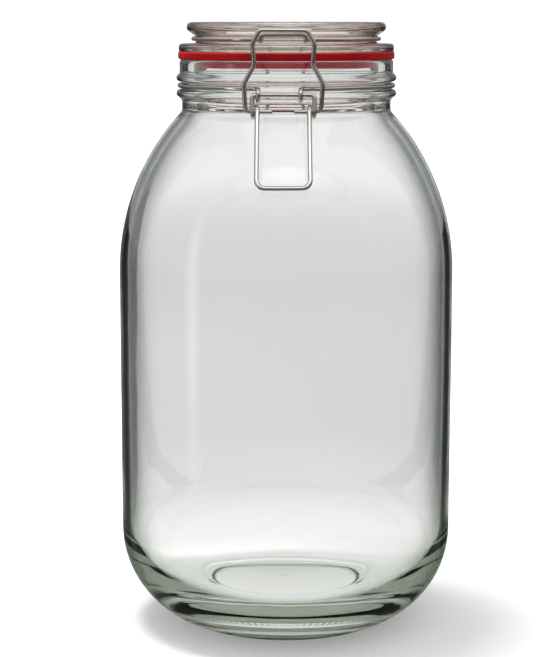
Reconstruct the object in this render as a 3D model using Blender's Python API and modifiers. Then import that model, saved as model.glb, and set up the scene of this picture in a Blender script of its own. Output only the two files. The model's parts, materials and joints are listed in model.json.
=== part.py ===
"""Lidded glass canister with a wire clasp, one named object for each sub-part.

Metres, +Z up, the front towards -Y and +X to the right. The origin is the middle of the ring that
the jar stands on. The glass jar and lid and the rubber ring are turned profiles, and the bands,
the link and the lever are bent from one size of round wire. Angles are radians unless named _deg.
"""

from math import acos, asin, cos, degrees, hypot, pi, radians, sin, sqrt, tan

import bpy
from mathutils import Matrix, Vector

MM = 0.001
TURN_STEPS = 44            # flat sides of every turned shape
ARC_STEP_DEG = 15          # one point of a large arc or a wire bend each so many degrees
SMALL_ARC_STEP_DEG = 30    # the same on a profile's small roundings
SMALL_RADIUS = 5.0 * MM

# Jar body
BODY_RADIUS = 75.0 * MM
WALL = 3.3 * MM
FLOOR_TOP = 13.3 * MM       # height of the inside floor
SEAT_OUTER_RADIUS = 42.0 * MM
SEAT_INNER_RADIUS = 36.5 * MM
PUNT_RADIUS = 34.0 * MM    # where the hollow under the base levels out
PUNT_HEIGHT = 2.2 * MM
HEEL_RADIUS = 44.0 * MM    # big round between the side and the base
INNER_HEEL_RADIUS = 33.0 * MM
SHOULDER_START = 160.0 * MM
SHOULDER_RADIUS = 105.0 * MM

# Jar neck and mouth
NECK_RADIUS = 46.4 * MM
NECK_BOTTOM = 231.0 * MM
NECK_FILLET = 3.5 * MM
MOUTH_RADIUS = 41.4 * MM
RIM_RADIUS = 47.4 * MM
RIM_TOP = 254.9 * MM
RIM_ROUND = 1.2 * MM
BEAD_MIDDLE_RADIUS = 47.2 * MM
BEAD_ROUND = 1.7 * MM
UPPER_BEAD_Z = 246.7 * MM
LOWER_BEAD_Z = 239.9 * MM
GROOVE_RADIUS = 46.1 * MM
RIM_FOOT = 0.6 * MM        # the rim's straight side ends this far above the upper bead
BEAD_FOOT = 0.8 * MM       # the neck's straight side starts this far below the lower bead

# Sealing ring, with a short lip that hangs into the mouth
RING_OUTER_RADIUS = 48.0 * MM
RING_INNER_RADIUS = 39.6 * MM
RING_BOTTOM = 255.2 * MM
RING_TOP = 257.9 * MM
RING_ROUND = 0.5 * MM
LIP_OUTER_RADIUS = 40.7 * MM
LIP_BOTTOM = 251.6 * MM

# Lid
FLANGE_RADIUS = 47.7 * MM
FLANGE_BOTTOM = 258.2 * MM
FLANGE_TOP = 261.6 * MM
FLANGE_ROUND = 1.2 * MM
FLANGE_FOOT = 0.4 * MM     # bevel under the flange's edge
LID_GROOVE_RADIUS = 39.8 * MM
LID_GROOVE_FLARE = 1.0 * MM
LID_RIM_MIDDLE = 42.0 * MM
LID_RIM_ROUND = 2.2 * MM
LID_TOP = 271.0 * MM
LID_DISH_TOP = 267.2 * MM
LID_DISH_RADIUS = 36.5 * MM
LID_UNDERSIDE = 261.4 * MM
PLUG_OUTER_RADIUS = 39.2 * MM
PLUG_INNER_RADIUS = 35.6 * MM
PLUG_BOTTOM = 251.2 * MM
PLUG_ROUND = 1.2 * MM

# Wire work
WIRE = 2.0 * MM
GAP = 0.3 * MM             # left between neighbours that touch
EYE_RADIUS = WIRE + GAP    # centre line of an eye wound round another wire
BAND_RADIUS = GROOVE_RADIUS + GAP + WIRE / 2
BAND_Z = (UPPER_BEAD_Z + LOWER_BEAD_Z) / 2
LID_BAND_RADIUS = LID_GROOVE_RADIUS + GAP + WIRE / 2
LID_BAND_Z = 263.7 * MM
BAND_POINTS_DEG = 6        # one point of a band's circle each so many degrees
BEND = 2.0 * MM            # bend radii of the bands
WIDE_BEND = 3.0 * MM
EYE_LEAD = 4.5 * MM        # how far from its eye the neck band joins its circle
BOW_LEAD = 3.5 * MM        # the same beside the hinge's bow and the lid band's arms

# Clasp, measured outwards from the jar's axis and sideways from the clasp's own middle
CLASP_X = -1.6 * MM        # the clasp stands a little to the left
PIVOT_OUT = 52.2 * MM
PIVOT_Z = BAND_Z - EYE_RADIUS
LINK_PIVOT_OUT = PIVOT_OUT - 0.8 * MM
LINK_PIVOT_Z = PIVOT_Z - 7.0 * MM
CATCH_OUT = 50.0 * MM
CATCH_Z = 265.9 * MM
CATCH_HALF_WIDTH = 9.4 * MM
CATCH_LEG_Z = 263.2 * MM
CATCH_LEG_BACK = 0.6 * MM  # the catch's legs lean this far forward
CATCH_LEAD = 3.2 * MM
CATCH_FOOT_BEND = 1.6 * MM
CATCH_BEND = 1.1 * MM
LINK_BAR_OUT = CATCH_OUT + 2.2 * MM
LINK_BAR_Z = CATCH_Z + 1.9 * MM
PIVOT_HALF_WIDTH = 13.1 * MM
PIVOT_CORNER = 1.4 * MM
COIL_START_DEG = 8
HANDLE_HALF_WIDTH = PIVOT_HALF_WIDTH - EYE_RADIUS
HANDLE_END_HALF_WIDTH = 11.3 * MM
HANDLE_END_OUT = 68.9 * MM
HANDLE_END_Z = 203.4 * MM
HANDLE_CORNER = 3.4 * MM
LEFT_EYE_X = -10.6 * MM
RIGHT_EYE_X = 7.3 * MM
EYE_END_DEG = -150         # where an eye's free end stops, below and behind its pin
LEVER_ENDS_GAP = 0.5 * MM  # the lever's wire ends meet in the middle of its pivot bar
LINK_HALF = (              # half of the link: sideways, height, bend radius
    (4.5 * MM, LINK_PIVOT_Z, 0),
    (15.8 * MM, LINK_PIVOT_Z, 2.2 * MM),
    (16.5 * MM, 245.8 * MM, 3.0 * MM),
    (12.2 * MM, 253.6 * MM, 4.0 * MM),
    (13.0 * MM, 262.4 * MM, 2.5 * MM),
    (9.9 * MM, LINK_BAR_Z, 1.6 * MM),
)

# Hinge behind the neck
HINGE_OUT = 55.0 * MM
HINGE_Z = LID_BAND_Z
HINGE_HALF_WIDTH = 9.5 * MM
HINGE_FOOT_OUT = 52.0 * MM
HINGE_EYE_X = 5.5 * MM
ARM_FOOT = 5.0 * MM        # how far the lid band's arms run straight back
ARM_REACH = 3.0 * MM       # where they start round the hinge, in front of its axis

FRONT = Vector((0, -1, 0))
BACK = Vector((0, 1, 0))


def clear_scene():
    for old in list(bpy.data.objects):
        bpy.data.objects.remove(old, do_unlink=True)


def new_collection(name):
    collection = bpy.data.collections.new(name)
    bpy.context.scene.collection.children.link(collection)
    return collection


def new_material(name, colour, roughness, metallic=0.0, transmission=0.0, ior=1.5):
    material = bpy.data.materials.new(name)
    material.use_nodes = True
    shader = material.node_tree.nodes["Principled BSDF"]
    shader.inputs["Base Color"].default_value = (*colour, 1)
    shader.inputs["Roughness"].default_value = roughness
    shader.inputs["Metallic"].default_value = metallic
    shader.inputs["Transmission Weight"].default_value = transmission
    shader.inputs["IOR"].default_value = ior
    return material


def arc(centre, radius, start_deg, end_deg):
    """Points (r, z) on a circle of a profile, both ends included."""
    step = SMALL_ARC_STEP_DEG if radius < SMALL_RADIUS else ARC_STEP_DEG
    count = max(2, round(abs(end_deg - start_deg) / step))
    angles = [radians(start_deg + (end_deg - start_deg) * i / count) for i in range(count + 1)]
    return [(centre[0] + radius * cos(a), centre[1] + radius * sin(a)) for a in angles]


def turned(name, profile, material, collection):
    """A closed profile (r, z) turned about Z. It runs down its outer side, top to bottom."""
    mesh = bpy.data.meshes.new(name)
    edges = [(i, i + 1) for i in range(len(profile) - 1)]
    if profile[0][0] > 0:
        edges.append((len(profile) - 1, 0))
    mesh.from_pydata([(r, 0, z) for r, z in profile], edges, [])
    mesh.materials.append(material)
    piece = bpy.data.objects.new(name, mesh)
    collection.objects.link(piece)
    screw = piece.modifiers.new("Turn", "SCREW")
    screw.axis = "Z"
    screw.angle = 2 * pi
    screw.steps = TURN_STEPS
    screw.render_steps = TURN_STEPS
    screw.use_merge_vertices = True
    screw.merge_threshold = 0.00001
    screw.use_smooth_shade = True
    return piece


def bent(corners):
    """A wire's centre line: each corner is (point, bend radius), and a bend becomes an arc."""
    points = []
    for i, (corner, radius) in enumerate(corners):
        if radius == 0 or i in (0, len(corners) - 1):
            points.append(Vector(corner))
            continue
        back = (corners[i - 1][0] - corner).normalized()
        ahead = (corners[i + 1][0] - corner).normalized()
        turn = pi - acos(max(-1, min(1, back.dot(ahead))))
        reach = radius * tan(turn / 2)
        middle = corner + (back + ahead).normalized() * radius / cos(turn / 2)
        first = corner + back * reach - middle
        across = (corner + ahead * reach - middle) - first * cos(turn)
        across = across.normalized() * radius
        count = max(2, round(degrees(turn) / ARC_STEP_DEG))
        for k in range(count + 1):
            angle = turn * k / count
            points.append(middle + first * cos(angle) + across * sin(angle))
    return points


def wire(name, points, material, collection):
    """A round wire along a centre line, with flat ends."""
    curve = bpy.data.curves.new(name, "CURVE")
    curve.dimensions = "3D"
    spline = curve.splines.new("POLY")
    spline.points.add(len(points) - 1)
    for knot, point in zip(spline.points, points):
        knot.co = (*point, 1)
    spline.use_smooth = True
    curve.bevel_depth = WIRE / 2
    curve.bevel_resolution = 2
    curve.use_fill_caps = True
    curve.materials.append(material)
    piece = bpy.data.objects.new(name, curve)
    collection.objects.link(piece)
    return piece


def place(x, out, z, side=FRONT):
    return Vector((x, 0, z)) + side * out


def eye(x, out, z, side, start_deg, end_deg, drift=0.0):
    """A wire wound round a pin along X. Angle 0 faces outwards and 90 is up."""
    count = round(abs(end_deg - start_deg) / (2 * ARC_STEP_DEG))
    points = []
    for i in range(count + 1):
        share = i / count
        angle = radians(start_deg + (end_deg - start_deg) * share)
        points.append(place(x + drift * share, out + EYE_RADIUS * cos(angle),
                            z + EYE_RADIUS * sin(angle), side))
    return points


def ring_points(radius, z, start_deg, end_deg):
    """Points round a band. Angle 0 is the front, and it grows towards +X."""
    count = round(abs(end_deg - start_deg) / BAND_POINTS_DEG)
    angles = [radians(start_deg + (end_deg - start_deg) * i / count) for i in range(count + 1)]
    return [Vector((radius * sin(a), -radius * cos(a), z)) for a in angles]


def plain(points):
    return [(point, 0) for point in points]


def jar_profile():
    heel_middle = BODY_RADIUS - HEEL_RADIUS
    heel_z = sqrt(HEEL_RADIUS ** 2 - (SEAT_OUTER_RADIUS - heel_middle) ** 2)
    heel_end = degrees(asin(heel_z / HEEL_RADIUS))
    inner_wall = BODY_RADIUS - WALL
    inner_heel = (inner_wall - INNER_HEEL_RADIUS, FLOOR_TOP + INNER_HEEL_RADIUS)
    shoulder = (BODY_RADIUS - SHOULDER_RADIUS, SHOULDER_START)
    inner_shoulder = SHOULDER_RADIUS - WALL

    # The neck's fillet touches the neck's line and the shoulder's arc from outside.
    fillet_r = NECK_RADIUS + NECK_FILLET
    fillet_reach = SHOULDER_RADIUS + NECK_FILLET
    fillet_rise = sqrt(fillet_reach ** 2 - (fillet_r - shoulder[0]) ** 2)
    fillet = (fillet_r, shoulder[1] + fillet_rise)
    fillet_end = degrees(asin(fillet_rise / fillet_reach))
    inner_neck_end = degrees(acos((MOUTH_RADIUS + WALL / 2 - shoulder[0]) / inner_shoulder))

    profile = [(0, FLOOR_TOP)]
    profile += arc(inner_heel, INNER_HEEL_RADIUS, -90, 0)
    profile += arc(shoulder, inner_shoulder, 0, inner_neck_end)
    profile += [(MOUTH_RADIUS, NECK_BOTTOM + WALL)]
    profile += arc((MOUTH_RADIUS + RIM_ROUND, RIM_TOP - RIM_ROUND), RIM_ROUND, 180, 90)
    profile += arc((RIM_RADIUS - RIM_ROUND, RIM_TOP - RIM_ROUND), RIM_ROUND, 90, 0)
    profile += [(RIM_RADIUS, UPPER_BEAD_Z + BEAD_ROUND + RIM_FOOT)]
    profile += arc((BEAD_MIDDLE_RADIUS, UPPER_BEAD_Z), BEAD_ROUND, 75, -90)
    profile += [(GROOVE_RADIUS, UPPER_BEAD_Z - BEAD_ROUND), (GROOVE_RADIUS, LOWER_BEAD_Z + BEAD_ROUND)]
    profile += arc((BEAD_MIDDLE_RADIUS, LOWER_BEAD_Z), BEAD_ROUND, 90, -75)
    profile += [(NECK_RADIUS, LOWER_BEAD_Z - BEAD_ROUND - BEAD_FOOT)]
    profile += arc(fillet, NECK_FILLET, 180, 180 + fillet_end)
    profile += arc(shoulder, SHOULDER_RADIUS, fillet_end, 0)[1:]
    profile += arc((heel_middle, heel_z), HEEL_RADIUS, 0, -heel_end)
    profile += [(SEAT_INNER_RADIUS, 0), (PUNT_RADIUS, PUNT_HEIGHT), (0, PUNT_HEIGHT)]
    return profile


def ring_profile():
    top, bottom = RING_TOP - RING_ROUND, RING_BOTTOM + RING_ROUND
    return ([(RING_INNER_RADIUS, LIP_BOTTOM), (RING_INNER_RADIUS, RING_TOP)]
            + [(RING_OUTER_RADIUS - RING_ROUND, RING_TOP), (RING_OUTER_RADIUS, top)]
            + [(RING_OUTER_RADIUS, bottom), (RING_OUTER_RADIUS - RING_ROUND, RING_BOTTOM)]
            + [(LIP_OUTER_RADIUS, RING_BOTTOM), (LIP_OUTER_RADIUS, LIP_BOTTOM)])


def lid_profile():
    rim = (LID_RIM_MIDDLE, LID_TOP - LID_RIM_ROUND)
    profile = [(0, LID_DISH_TOP), (LID_DISH_RADIUS, LID_DISH_TOP)]
    profile += arc(rim, LID_RIM_ROUND, 120, -60)
    profile += [(LID_GROOVE_RADIUS, LID_BAND_Z + WIRE / 2), (LID_GROOVE_RADIUS, LID_BAND_Z - WIRE / 2)]
    profile += [(LID_GROOVE_RADIUS + LID_GROOVE_FLARE, FLANGE_TOP)]
    profile += arc((FLANGE_RADIUS - FLANGE_ROUND, FLANGE_TOP - FLANGE_ROUND), FLANGE_ROUND, 90, 0)
    profile += [(FLANGE_RADIUS, FLANGE_BOTTOM + FLANGE_FOOT), (FLANGE_RADIUS - FLANGE_FOOT, FLANGE_BOTTOM)]
    profile += [(PLUG_OUTER_RADIUS, FLANGE_BOTTOM)]
    profile += arc((PLUG_OUTER_RADIUS - PLUG_ROUND, PLUG_BOTTOM + PLUG_ROUND), PLUG_ROUND, 0, -90)
    profile += [(PLUG_INNER_RADIUS + PLUG_ROUND, PLUG_BOTTOM)]
    profile += [(PLUG_INNER_RADIUS, PLUG_BOTTOM + PLUG_ROUND)]
    profile += [(PLUG_INNER_RADIUS - PLUG_ROUND, LID_UNDERSIDE), (0, LID_UNDERSIDE)]
    return profile


def neck_band_path():
    """From the left eye round the left, up over the hinge, and round the right to the other eye."""
    def front_end(x):
        away = 1 if x > CLASP_X else -1
        start = degrees(asin((x + away * EYE_LEAD) / BAND_RADIUS))
        foot = sqrt(BAND_RADIUS ** 2 - x ** 2) + GAP
        turn = [(place(x, foot, BAND_Z), BEND)]
        return start, turn, eye(x, PIVOT_OUT, PIVOT_Z, FRONT, EYE_END_DEG, 90)

    left_start, left_turn, left_eye = front_end(CLASP_X + LEFT_EYE_X)
    right_start, right_turn, right_eye = front_end(CLASP_X + RIGHT_EYE_X)
    leave = degrees(asin((HINGE_HALF_WIDTH + BOW_LEAD) / BAND_RADIUS))
    bow = []
    for side in (-1, 1):
        x = side * HINGE_HALF_WIDTH
        foot = sqrt(BAND_RADIUS ** 2 - x ** 2)
        leg = [(place(x, foot, BAND_Z, BACK), BEND)]
        leg += [(place(x, HINGE_FOOT_OUT, BAND_Z, BACK), WIDE_BEND)]
        leg += [(place(x, HINGE_OUT, HINGE_Z, BACK), BEND)]
        bow += leg if side < 0 else leg[::-1]
    path = plain(left_eye) + left_turn
    path += plain(ring_points(BAND_RADIUS, BAND_Z, left_start, -180 + leave))
    path += bow
    path += plain(ring_points(BAND_RADIUS, BAND_Z, 180 - leave, right_start))
    path += right_turn + plain(right_eye[::-1])
    return bent(path)


def lid_band_path():
    """From the left hinge eye round the left, out to the catch, and back round the right."""
    leave_front = degrees(asin((CATCH_HALF_WIDTH + CATCH_LEAD) / LID_BAND_RADIUS))
    leave_back = degrees(asin((HINGE_EYE_X + BOW_LEAD) / LID_BAND_RADIUS))
    tilt = degrees(asin(CLASP_X / LID_BAND_RADIUS))
    arms, nose = [], []
    for side in (-1, 1):
        x = side * HINGE_EYE_X
        foot = sqrt(LID_BAND_RADIUS ** 2 - x ** 2)
        arm = [(place(x, foot, LID_BAND_Z, BACK), BEND)]
        arm += [(place(x, foot + ARM_FOOT, LID_BAND_Z, BACK), WIDE_BEND)]
        arm += [(place(x, HINGE_OUT - ARM_REACH, HINGE_Z + EYE_RADIUS, BACK), WIDE_BEND)]
        arms.append(arm + plain(eye(x, HINGE_OUT, HINGE_Z, BACK, 90, EYE_END_DEG)))
        x = CLASP_X + side * CATCH_HALF_WIDTH
        foot = sqrt(LID_BAND_RADIUS ** 2 - x ** 2)
        leg = [(place(x, foot, LID_BAND_Z), CATCH_FOOT_BEND)]
        leg += [(place(x, CATCH_OUT - CATCH_LEG_BACK, CATCH_LEG_Z), CATCH_BEND)]
        leg += [(place(x, CATCH_OUT, CATCH_Z), CATCH_BEND)]
        nose += leg if side < 0 else leg[::-1]
    path = arms[0][::-1]
    path += plain(ring_points(LID_BAND_RADIUS, LID_BAND_Z, -180 + leave_back, tilt - leave_front))
    path += nose
    path += plain(ring_points(LID_BAND_RADIUS, LID_BAND_Z, tilt + leave_front, 180 - leave_back))
    path += arms[1]
    return bent(path)


def link_path():
    """From the left stub up the left side, across the top bar and down to the right stub."""
    lean = (LINK_BAR_OUT - LINK_PIVOT_OUT) / (LINK_BAR_Z - LINK_PIVOT_Z)
    corners = []
    for side, rows in ((-1, LINK_HALF), (1, LINK_HALF[::-1])):
        for x, z, radius in rows:
            out = LINK_PIVOT_OUT + lean * (z - LINK_PIVOT_Z)
            corners.append((place(CLASP_X + side * x, out, z), radius))
    return bent(corners)


def lever_path():
    """From the middle of the pivot bar, round the left stub, along the handle and back."""
    top = (HANDLE_END_OUT - LINK_PIVOT_OUT, HANDLE_END_Z - LINK_PIVOT_Z)
    length = hypot(*top)
    slope = degrees(asin(EYE_RADIUS / length)) + degrees(asin(top[0] / length))
    half = [(place(CLASP_X - LEVER_ENDS_GAP / 2, PIVOT_OUT, PIVOT_Z), 0)]
    half += [(place(CLASP_X - PIVOT_HALF_WIDTH, PIVOT_OUT, PIVOT_Z), PIVOT_CORNER)]
    half += plain(eye(CLASP_X - PIVOT_HALF_WIDTH, LINK_PIVOT_OUT, LINK_PIVOT_Z, FRONT,
                      COIL_START_DEG, slope - 360, PIVOT_HALF_WIDTH - HANDLE_HALF_WIDTH))
    half += [(place(CLASP_X - HANDLE_END_HALF_WIDTH, HANDLE_END_OUT, HANDLE_END_Z), HANDLE_CORNER)]
    other = [(Vector((2 * CLASP_X - p.x, p.y, p.z)), radius) for p, radius in half[::-1]]
    return bent(half + other)


def hang_on(axis_name, point, pieces, collection):
    """Parents pieces to an empty on their joint's axis and leaves them where they are."""
    axis = bpy.data.objects.new(axis_name, None)
    axis.location = point
    axis.empty_display_size = 10 * MM
    collection.objects.link(axis)
    for piece in pieces:
        piece.parent = axis
        piece.matrix_parent_inverse = Matrix.Translation(-point)


def build():
    clear_scene()
    parts = new_collection("lidded_glass_canister")
    glass = new_material("clear_glass", (0.93, 0.96, 0.94), 0.02, transmission=1.0, ior=1.52)
    rubber = new_material("red_rubber", (0.62, 0.005, 0.012), 0.45)
    steel = new_material("steel_wire", (0.55, 0.51, 0.48), 0.25, metallic=1.0)

    turned("glass_jar", jar_profile(), glass, parts)
    wire("neck_band", neck_band_path(), steel, parts)
    lid = turned("glass_lid", lid_profile(), glass, parts)
    ring = turned("sealing_ring", ring_profile(), rubber, parts)
    lid_band = wire("lid_band", lid_band_path(), steel, parts)
    link = wire("clasp_link", link_path(), steel, parts)
    lever = wire("clasp_lever", lever_path(), steel, parts)

    hang_on("lid_hinge_axis", place(0, HINGE_OUT, HINGE_Z, BACK), (lid, ring, lid_band), parts)
    hang_on("lever_pivot_axis", place(CLASP_X, PIVOT_OUT, PIVOT_Z), (lever,), parts)
    hang_on("link_pivot_axis", place(CLASP_X, LINK_PIVOT_OUT, LINK_PIVOT_Z), (link,), parts)


build()
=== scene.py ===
"""Looks of a lidded glass canister: clear glass jar and lid, red rubber ring and steel wire clasp.

Every piece is a surface worked out with numpy. A turned piece is a profile (r, z) carried round Z,
and a wire is a circle carried along a bent centre line. The front is -Y and lengths are metres.
"""

import json

import bpy
import numpy as np
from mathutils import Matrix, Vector


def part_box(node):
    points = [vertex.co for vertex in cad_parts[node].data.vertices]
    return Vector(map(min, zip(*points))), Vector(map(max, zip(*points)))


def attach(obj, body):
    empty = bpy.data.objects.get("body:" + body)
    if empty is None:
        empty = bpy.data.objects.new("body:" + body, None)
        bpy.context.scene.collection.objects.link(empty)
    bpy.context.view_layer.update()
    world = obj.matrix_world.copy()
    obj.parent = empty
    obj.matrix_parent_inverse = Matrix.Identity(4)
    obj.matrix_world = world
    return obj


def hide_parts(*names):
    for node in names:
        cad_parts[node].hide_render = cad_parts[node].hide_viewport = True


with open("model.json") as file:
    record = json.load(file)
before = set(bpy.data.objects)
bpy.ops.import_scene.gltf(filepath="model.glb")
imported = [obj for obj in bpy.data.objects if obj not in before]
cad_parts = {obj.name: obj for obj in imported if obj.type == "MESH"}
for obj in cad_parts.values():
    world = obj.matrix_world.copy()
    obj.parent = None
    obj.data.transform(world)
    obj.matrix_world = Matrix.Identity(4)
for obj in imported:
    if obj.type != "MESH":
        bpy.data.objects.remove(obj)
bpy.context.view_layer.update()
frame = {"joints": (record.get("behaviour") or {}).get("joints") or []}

bl_info = {
    "name": "Lidded Glass Canister",
    "version": (1, 0, 0),
    "blender": (4, 5, 0),
    "location": "View3D > Sidebar > Canister",
    "description": "Builds a clear glass storage jar with a hinged lid, a rubber ring and a wire clasp",
    "category": "Add Mesh",
}

MM = 0.001
JAR_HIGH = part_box("glass_jar")[1]
LID_LOW, LID_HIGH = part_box("glass_lid")
RING_LOW, RING_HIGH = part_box("sealing_ring")
LINK_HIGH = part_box("clasp_link")[1]
JOINTS = {joint["name"]: Vector(joint["pos_m"]) for joint in frame["joints"]}
HINGE = JOINTS["lid_hinge"]
PIVOT = JOINTS["lever_pivot"]
LINK_PIVOT = JOINTS["link_pivot"]

FRONT = np.array([0.0, -1.0, 0.0])
BACK = np.array([0.0, 1.0, 0.0])
TURN_COUNT = 360          # points round a turned piece
KNURLS = 90               # notches round the ring that the jar stands on
WIRE_SIDES = 28           # points round a wire
WIRE_STEP = 0.45 * MM     # distance between the rings of a wire
WIRE_CHAMFER = 0.25 * MM  # bevel on the cut ends of a wire
BEND = 2.0 * MM
WIDE_BEND = 3.0 * MM
EYE_LEAD = 4.5 * MM       # how far before an eye, the bow or the catch a band starts to turn off
BOW_LEAD = 3.5 * MM
CATCH_LEAD = 3.2 * MM

GLASS_IOR = 1.52
GLASS_DENSITY = 15.0      # how fast thick glass takes its own colour, per metre
BASE_FADE = (0.018, 0.075)    # heights between which the base's painted edge shade gives way to the wall's
# Painted shade: the glass's colour darkens as it turns away from the eye: how far turned, and the share of
# the painted edge shade.
EDGE_SHADE = ((0.42, 0.0), (0.55, 0.22), (0.65, 0.68), (0.72, 0.96), (0.81, 1.0), (0.87, 0.30), (0.95, 0.0))

BACKDROP = (1.05, 0.95)   # how bright it is seen directly, and through glass
ROOM = [(0.0, (0.30,) * 3), (0.30, (0.30,) * 3), (0.62, (0.95,) * 3), (1.0, (0.85,) * 3)]   # by height
FLOOR_HALF = 60.0
FLOOR_DROP = 0.3 * MM
FLOOR_SHADES = (0.50, 0.12)   # painted shade: how pale the floor is through glass, and to gloss, darker than it is seen directly
FLOOR_REACH = 3.0         # the floor's two glows go by distance from the jar, as a share of this
FLOOR_GLOW = [(0.06, (0.14,) * 3), (0.35, (0.50,) * 3)]
# Painted light and shade: through glass the floor glows bright right under the jar, where its shadow lies,
# dim beside it, and paler far off.
FLOOR_GLOW_THROUGH = [(0.018, (0.80,) * 3), (0.035, (0.35,) * 3), (0.07, (0.07,) * 3), (0.13, (0.02,) * 3),
                      (0.25, (0.14,) * 3), (0.46, (0.26,) * 3), (1.0, (0.55,) * 3)]
STRIP_FAR = 9.0           # how far back the grey strips of painted shade run
STRIP_NEAR = (0.080, 0.10)    # their inner and outer edge beside the jar
STRIP_INNER_SLOPES = {-1: 0.21, 1: 0.30}
STRIP_OUTER_SLOPE = 0.70
STRIP_SHADE = (0.04, 0.045, 0.042)
CARD_SHADE = (0.9, 0.9, 0.9)
KEY_PLACE = (-0.22, 0.10, 1.18)
KEY_TARGET = (0, 0, 0.05)
KEY_SIZE = (0.42, 0.42)
KEY_POWER = 12.0
LEFT_GLOW_POWER = 2.0
FRONT_GLOW_POWER = 3.6
LIGHT_TURNS = 32          # light that runs round inside thick glass turns many times before it is out
GLOSS_TURNS = 24
LENS = 103.8
SENSOR_WIDTH = 36.0
CAMERA_X = -6.1 * MM      # the camera stands a little left of the jar's axis
CAMERA_PLACE = (CAMERA_X, -0.85, 0.274)
CAMERA_AIM = (CAMERA_X, 0.0, 0.1334)


# ---------------------------------------------------------------- sizes and colours

def length(name, description, default):
    """A length that can be set in the panel."""
    return bpy.props.FloatProperty(name=name, description=description, default=default,
                                   unit="LENGTH", precision=5)


def colour(name, description, default):
    """A colour that can be set in the panel."""
    return bpy.props.FloatVectorProperty(name=name, description=description, default=default,
                                         subtype="COLOR", size=3, min=0, max=1)


class JarSizes(bpy.types.PropertyGroup):
    """Sizes of the blown jar."""
    body_radius: length("Body radius", "Outside radius of the jar's body", JAR_HIGH.x)
    wall: length("Wall", "Thickness of the side", 3.3 * MM)
    floor_top: length("Floor", "Height of the inside floor", 13.3 * MM)
    floor_dish: length("Floor dish", "How far the floor sinks inside its ridge", 1.0 * MM)
    ridge: length("Ridge", "Height of the ring round the inside floor", 0.45 * MM)
    knurl: length("Knurl", "Depth of the small notches in the ring it stands on", 0.25 * MM)
    seat_outer: length("Seat outside", "Outer radius of the ring it stands on", 42.0 * MM)
    seat_inner: length("Seat inside", "Inner radius of the ring it stands on", 36.5 * MM)
    punt_radius: length("Punt radius", "Radius where the hollow under the base levels out", 34.0 * MM)
    punt_height: length("Punt height", "Height of the hollow under the base", 2.2 * MM)
    heel_radius: length("Heel radius", "Round between the side and the base", 44.0 * MM)
    inner_heel: length("Inner heel radius", "The same round on the inside", 32.2 * MM)
    shoulder_start: length("Shoulder start", "Height where the shoulder begins", 160.0 * MM)
    shoulder_radius: length("Shoulder radius", "Radius of the shoulder's arc", 105.0 * MM)
    neck_radius: length("Neck radius", "Outside radius of the neck", 46.4 * MM)
    neck_fillet: length("Neck fillet", "Round between the shoulder and the neck", 3.5 * MM)
    mouth_radius: length("Mouth radius", "Inside radius of the mouth", 41.4 * MM)
    rim_radius: length("Rim radius", "Outside radius of the rim", 47.4 * MM)
    rim_round: length("Rim round", "Rounding of the rim's edges", 1.2 * MM)
    bead_middle: length("Bead middle", "Radius to the middle of the beads", 47.2 * MM)
    bead_round: length("Bead round", "Radius of the beads' section", 1.7 * MM)
    bead_z: length("Bead height", "Height of the upper bead", 246.7 * MM)
    bead_pitch: length("Bead pitch", "Distance from the upper bead down to the lower one", 6.8 * MM)
    groove_radius: length("Groove radius", "Bottom of the neck band's groove", 46.1 * MM)
    ripple: length("Ripple", "Unevenness of the blown glass", 0.10 * MM)


class LidSizes(bpy.types.PropertyGroup):
    """Sizes of the pressed lid and the ring under it."""
    flange_radius: length("Flange radius", "Outside radius of the flange", LID_HIGH.x)
    flange_bottom: length("Flange bottom", "Underside of the flange", RING_HIGH.z + 0.3 * MM)
    flange_top: length("Flange top", "Top of the flange", 261.6 * MM)
    flange_round: length("Flange round", "Rounding of the flange's edge", 1.2 * MM)
    groove_radius: length("Groove radius", "Bottom of the lid band's groove", 39.8 * MM)
    rim_middle: length("Rim middle", "Radius to the middle of the top rim", 42.0 * MM)
    rim_round: length("Rim round", "Radius of the top rim's section", 2.2 * MM)
    dish_top: length("Dish", "Height of the sunk middle", 267.2 * MM)
    dish_radius: length("Dish radius", "Radius of the sunk middle", 36.5 * MM)
    underside: length("Underside", "Height of the hollow under the lid", 261.4 * MM)
    plug_outer: length("Plug outside", "Outer radius of the ring that enters the mouth", 39.2 * MM)
    plug_inner: length("Plug inside", "Inner radius of that ring", 35.6 * MM)
    plug_round: length("Plug round", "Rounding of that ring", 1.2 * MM)
    ring_inner: length("Rubber inside", "Inner radius of the rubber ring", 39.6 * MM)
    lip_outer: length("Rubber lip", "Outer radius of the ring's lip in the mouth", 40.7 * MM)
    lip_low: length("Rubber lip height", "Height of the lip's lower edge", RING_LOW.z)
    ring_gap: length("Rubber gap", "Gap between the rubber and the glass", 0.04 * MM)


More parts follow.
